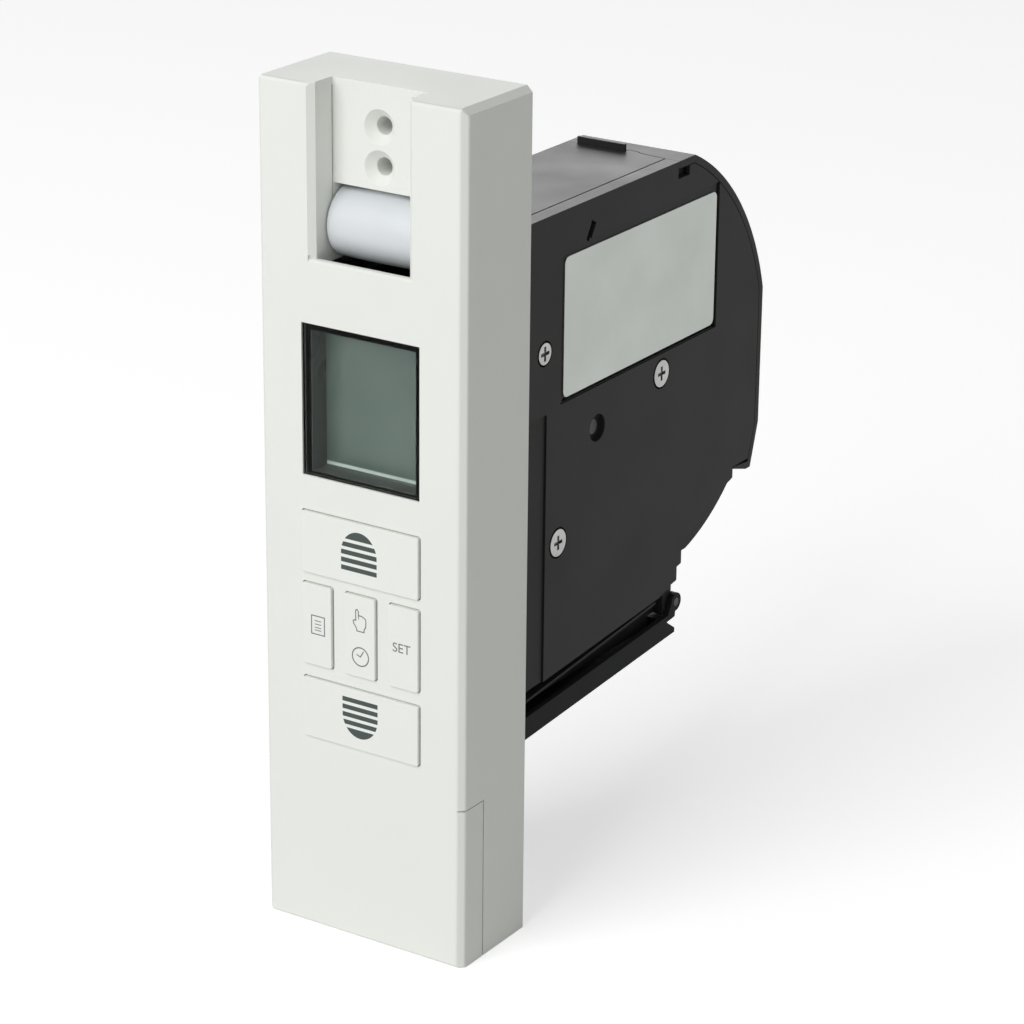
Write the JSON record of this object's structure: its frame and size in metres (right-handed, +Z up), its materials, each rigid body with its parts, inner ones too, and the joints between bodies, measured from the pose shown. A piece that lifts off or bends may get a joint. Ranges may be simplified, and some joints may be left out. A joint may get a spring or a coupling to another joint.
{
  "type": "electric belt winder",
  "caption": "Flush-mounted electric roller-shutter belt winder: slim white front box with belt channel, guide roller, display and keys, and a black reel housing behind",
  "frame": {"origin": "On the wall plane, midway between the upper outer and the lower wall screw", "axes": "+X to the right seen from the room, +Y into the wall, +Z up along the belt"},
  "size_m": [0.0604, 0.1641, 0.222],
  "materials": {
    "cover_white": "satin",
    "key_white": "satin",
    "nylon": "satin",
    "body_black": "matte",
    "gear_plastic": "satin",
    "lens": "gloss",
    "bezel_black": "matte",
    "display_grey": "gloss",
    "light_guide": "matte",
    "board_green": "gloss",
    "part_black": "matte",
    "zinc_steel": "satin",
    "dark_steel": "matte",
    "brass": "satin",
    "label_silver": "satin",
    "cell_sleeve": "gloss",
    "terminal_grey": "matte"
  },
  "bodies": {
    "body": {"front_cover": "cover_white", "belt_guide": "cover_white", "mounting_plate": "zinc_steel", "plate_screws": "zinc_steel", "roller_axle": "zinc_steel", "display_lens": "lens", "display_bezel": "bezel_black", "display_glass": "display_grey", "display_backlight": "light_guide", "key_switches": "part_black", "control_board": "board_green", "board_screws": "zinc_steel", "control_chip": "part_black", "board_connector": "terminal_grey", "clock_reserve_cell": "cell_sleeve", "housing_shell": "body_black", "body_screws": "zinc_steel", "side_cover": "body_black", "rating_plate": "label_silver", "motor_cover": "body_black", "side_screws": "zinc_steel", "rear_guard": "body_black", "reel_shaft": "zinc_steel", "middle_axle": "dark_steel", "gear_bracket": "zinc_steel", "drive_screws": "zinc_steel", "shaft_bushes": "brass", "motor_can": "zinc_steel", "motor_end_cap": "part_black", "motor_magnets": "dark_steel", "sensor_board": "board_green", "motor_plate": "zinc_steel", "power_board": "board_green", "transformer": "dark_steel", "mains_capacitor": "terminal_grey", "motor_relay": "part_black", "terminal_block": "terminal_grey", "terminal_screws": "zinc_steel", "cable_clamp": "terminal_grey", "flap_pin": "dark_steel"},
    "up_key": {"key_up": "key_white"},
    "menu_key": {"key_menu": "key_white"},
    "mode_key": {"key_mode": "key_white"},
    "set_key": {"key_set": "key_white"},
    "down_key": {"key_down": "key_white"},
    "roller": {"guide_roller": "nylon"},
    "reel": {"belt_reel": "nylon", "reel_flange": "nylon", "belt_hook": "zinc_steel", "reel_gear": "gear_plastic"},
    "middle_wheel": {"middle_gear": "gear_plastic"},
    "drive_train": {"drive_pinion": "gear_plastic", "drive_shaft": "zinc_steel", "worm_wheel": "brass"},
    "motor_rotor": {"worm": "zinc_steel", "motor_shaft": "zinc_steel", "motor_armature": "dark_steel", "position_magnet": "dark_steel"},
    "flap": {"terminal_flap": "body_black"},
    "lower_cover": {"service_cover": "cover_white"}
  },
  "joints": [
    {"name": "up_key_press", "type": "slide", "parent": "body", "child": "up_key", "axis": [0, 1, 0], "range_m": [0, 0.0006], "stiffness_N_per_m": 300, "springref_m": -0.001},
    {"name": "menu_key_press", "type": "slide", "parent": "body", "child": "menu_key", "axis": [0, 1, 0], "range_m": [0, 0.0006], "stiffness_N_per_m": 300, "springref_m": -0.001},
    {"name": "mode_key_press", "type": "slide", "parent": "body", "child": "mode_key", "axis": [0, 1, 0], "range_m": [0, 0.0006], "stiffness_N_per_m": 300, "springref_m": -0.001},
    {"name": "set_key_press", "type": "slide", "parent": "body", "child": "set_key", "axis": [0, 1, 0], "range_m": [0, 0.0006], "stiffness_N_per_m": 300, "springref_m": -0.001},
    {"name": "down_key_press", "type": "slide", "parent": "body", "child": "down_key", "axis": [0, 1, 0], "range_m": [0, 0.0006], "stiffness_N_per_m": 300, "springref_m": -0.001},
    {"name": "guide_roller_spin", "type": "hinge", "parent": "body", "child": "roller", "pos_m": [0, -0.0146, 0.06185], "axis": [1, 0, 0], "continuous": true},
    {"name": "motor_spin", "type": "hinge", "parent": "body", "child": "motor_rotor", "pos_m": [0, 0.0056, -0.00787], "axis": [0, 0, 1], "continuous": true},
    {"name": "drive_train_spin", "type": "hinge", "parent": "body", "child": "drive_train", "pos_m": [0, 0.0171, -0.00787], "axis": [1, 0, 0], "continuous": true},
    {"name": "middle_wheel_spin", "type": "hinge", "parent": "body", "child": "middle_wheel", "pos_m": [0.016, 0.04884, -0.0038], "axis": [1, 0, 0], "continuous": true},
    {"name": "reel_spin", "type": "hinge", "parent": "body", "child": "reel", "pos_m": [0, 0.0808, 0.0021], "axis": [1, 0, 0], "continuous": true},
    {"name": "flap_hinge", "type": "hinge", "parent": "body", "child": "flap", "pos_m": [0, 0.092, -0.0669], "axis": [1, 0, 0], "range_deg": [0, 70]},
    {"name": "lower_cover_slide", "type": "slide", "parent": "body", "child": "lower_cover", "axis": [0, 0, -1], "range_m": [0, 0.045]}
  ],
  "couplings": [
    {"joint": "drive_train_spin", "follows": "motor_spin", "ratio": 0.05},
    {"joint": "middle_wheel_spin", "follows": "motor_spin", "ratio": -0.016667},
    {"joint": "reel_spin", "follows": "motor_spin", "ratio": 0.0041667}
  ]
}
